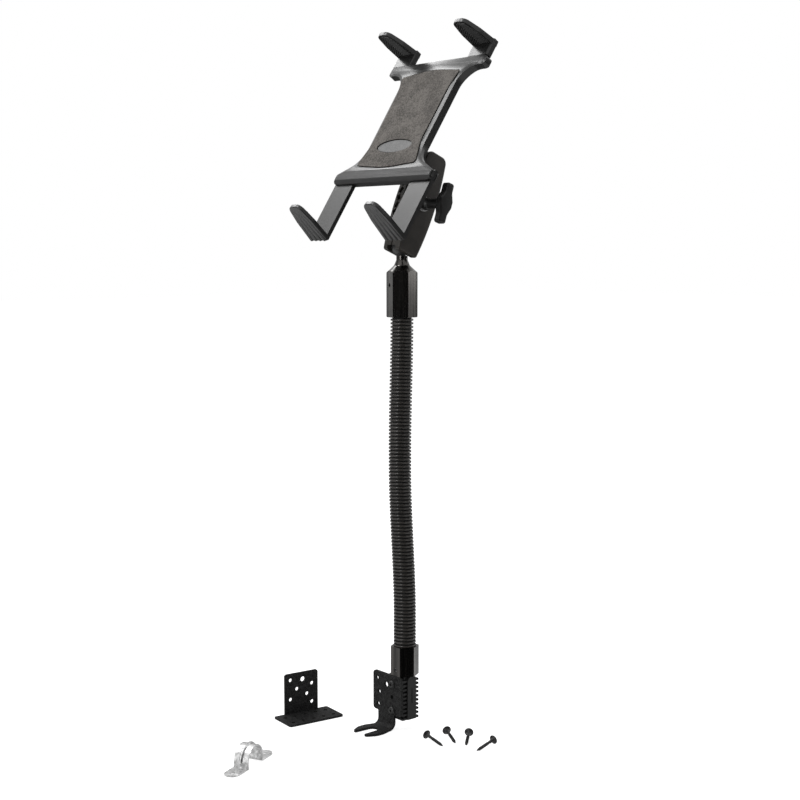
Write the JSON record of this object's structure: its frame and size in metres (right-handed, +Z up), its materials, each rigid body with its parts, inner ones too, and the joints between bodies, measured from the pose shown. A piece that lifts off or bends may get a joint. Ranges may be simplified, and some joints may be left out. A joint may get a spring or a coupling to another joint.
{
  "type": "car tablet mount",
  "caption": "Gooseneck tablet holder: forked seat-bolt foot, ribbed bending neck, double-ball clamp arm, sprung claw holder with sliding legs.",
  "frame": {"origin": "centre of the seat-bolt slot's round end, on the underside of the fork", "axes": "+Z up along the neck; +X to the holder's right, seen from behind it; -Y is the side the tablet faces"},
  "size_m": [0.2424, 0.3166, 0.8149],
  "materials": {
    "black_powder_coat": "textured black powder coat",
    "dark_steel": "blackened steel, satin",
    "black_nylon": "moulded, satin",
    "black_chrome": "black nickel plate, polished",
    "ball_rubber": "moulded, matte",
    "arm_paint": "semi-gloss black over cast alloy",
    "zinc_steel": "zinc plated",
    "spring_steel": "plain",
    "black_gloss": "semi-gloss, moulded",
    "brass": "turned",
    "black_abs": "satin, moulded",
    "soft_pad": "mottled soft-touch",
    "satin_aluminium": "satin, bare",
    "neck_sleeve": "ribbed, semi-gloss",
    "claw_rubber": "ribbed, matte",
    "black_phosphate": "black phosphate"
  },
  "bodies": {
    "seat_foot": {"seat_bracket": "black_powder_coat", "bracket_screws": "black_phosphate", "post": "black_nylon", "lower_collar": "black_chrome", "lower_set_screw": "dark_steel", "neck_sleeve_0": "neck_sleeve", "neck_core_0": "zinc_steel", "floor_bracket": "black_powder_coat", "pipe_strap": "zinc_steel", "wood_screws": "black_phosphate"},
    "neck_1": {"neck_sleeve_1": "neck_sleeve", "neck_core_1": "zinc_steel"},
    "neck_2": {"neck_sleeve_2": "neck_sleeve", "neck_core_2": "zinc_steel"},
    "neck_3": {"neck_sleeve_3": "neck_sleeve", "neck_core_3": "zinc_steel"},
    "neck_4": {"neck_sleeve_4": "neck_sleeve", "neck_core_4": "zinc_steel"},
    "neck_5": {"neck_sleeve_5": "neck_sleeve", "neck_core_5": "zinc_steel"},
    "neck_6": {"neck_sleeve_6": "neck_sleeve", "neck_core_6": "zinc_steel", "upper_collar": "black_chrome", "lower_ball_stem": "black_chrome", "upper_set_screw": "dark_steel"},
    "lower_ball": {"lower_ball": "ball_rubber"},
    "arm_inner": {"arm_inner": "arm_paint", "clamp_bolt": "zinc_steel", "clamp_spring": "spring_steel"},
    "arm_outer": {"arm_outer": "arm_paint", "clamp_washer": "zinc_steel"},
    "knob": {"clamp_knob": "black_gloss", "knob_insert": "brass"},
    "upper_ball": {"upper_ball": "ball_rubber"},
    "holder": {"ball_plate": "black_powder_coat", "ball_plate_screws": "dark_steel", "back_cover": "black_abs", "cover_screws": "dark_steel", "front_cover": "black_abs", "front_pad": "soft_pad", "badge_plate": "satin_aluminium", "crossbar": "black_gloss", "upper_claw_left": "black_abs", "upper_pad_left": "claw_rubber", "upper_claw_right": "black_abs", "upper_pad_right": "claw_rubber", "button_spring_left": "spring_steel", "button_spring_right": "spring_steel"},
    "leg_left": {"lower_leg_left": "black_abs", "lower_pad_left": "claw_rubber"},
    "leg_right": {"lower_leg_right": "black_abs", "lower_pad_right": "claw_rubber"},
    "button_left": {"release_button_left": "black_gloss"},
    "button_right": {"release_button_right": "black_gloss"}
  },
  "joints": [
    {"name": "neck_bend_1", "type": "hinge", "parent": "seat_foot", "child": "neck_1", "pos_m": [0.0165, 0.036, 0.14146], "axis": [1, 0, 0], "range_deg": [-12, 12]},
    {"name": "neck_bend_2", "type": "hinge", "parent": "neck_1", "child": "neck_2", "pos_m": [0.0165, 0.03372, 0.20289], "axis": [0, 1, 0], "range_deg": [-12, 12]},
    {"name": "neck_bend_3", "type": "hinge", "parent": "neck_2", "child": "neck_3", "pos_m": [0.0165, 0.02999, 0.26433], "axis": [1, 0, 0], "range_deg": [-12, 12]},
    {"name": "neck_bend_4", "type": "hinge", "parent": "neck_3", "child": "neck_4", "pos_m": [0.0165, 0.0286, 0.32167], "axis": [0, 1, 0], "range_deg": [-12, 12]},
    {"name": "neck_bend_5", "type": "hinge", "parent": "neck_4", "child": "neck_5", "pos_m": [0.0165, 0.02939, 0.38311], "axis": [1, 0, 0], "range_deg": [-12, 12]},
    {"name": "neck_bend_6", "type": "hinge", "parent": "neck_5", "child": "neck_6", "pos_m": [0.0165, 0.03108, 0.44454], "axis": [0, 1, 0], "range_deg": [-12, 12]},
    {"name": "arm_swivel", "type": "hinge", "parent": "neck_6", "child": "lower_ball", "pos_m": [0.0165, 0.0316, 0.5665], "axis": [0, 0, 1], "continuous": true},
    {"name": "arm_tilt", "type": "hinge", "parent": "lower_ball", "child": "arm_inner", "pos_m": [0.0165, 0.0316, 0.5665], "axis": [1, 0, 0], "range_deg": [-20, 60]},
    {"name": "clamp_open", "type": "slide", "parent": "arm_inner", "child": "arm_outer", "axis": [1, 0, 0], "range_m": [0, 0.00125], "deforming": ["clamp_spring"]},
    {"name": "knob_turn", "type": "hinge", "parent": "arm_outer", "child": "knob", "pos_m": [0.0165, 0.05131, 0.61408], "axis": [1, 0, 0], "range_deg": [0, 360]},
    {"name": "holder_tilt", "type": "hinge", "parent": "arm_inner", "child": "upper_ball", "pos_m": [0.0165, 0.07102, 0.66166], "axis": [1, 0, 0], "range_deg": [-60, 20]},
    {"name": "holder_turn", "type": "hinge", "parent": "upper_ball", "child": "holder", "pos_m": [0.0165, 0.07102, 0.66166], "axis": [0, -0.8387, 0.5446], "continuous": true},
    {"name": "leg_left_slide", "type": "slide", "parent": "holder", "child": "leg_left", "axis": [0, 0.5446, 0.8387], "range_m": [0, 0.045]},
    {"name": "leg_right_slide", "type": "slide", "parent": "holder", "child": "leg_right", "axis": [0, 0.5446, 0.8387], "range_m": [0, 0.045]},
    {"name": "button_left_press", "type": "slide", "parent": "holder", "child": "button_left", "axis": [1, 0, 0], "range_m": [0, 0.0025], "stiffness_N_per_m": 600, "springref_m": -0.001, "deforming": ["button_spring_left"]},
    {"name": "button_right_press", "type": "slide", "parent": "holder", "child": "button_right", "axis": [-1, 0, 0], "range_m": [0, 0.0025], "stiffness_N_per_m": 600, "springref_m": -0.001, "deforming": ["button_spring_right"]}
  ],
  "couplings": [
    {"joint": "knob_turn", "follows": "clamp_open", "rad_per_m": 5026.5}
  ]
}
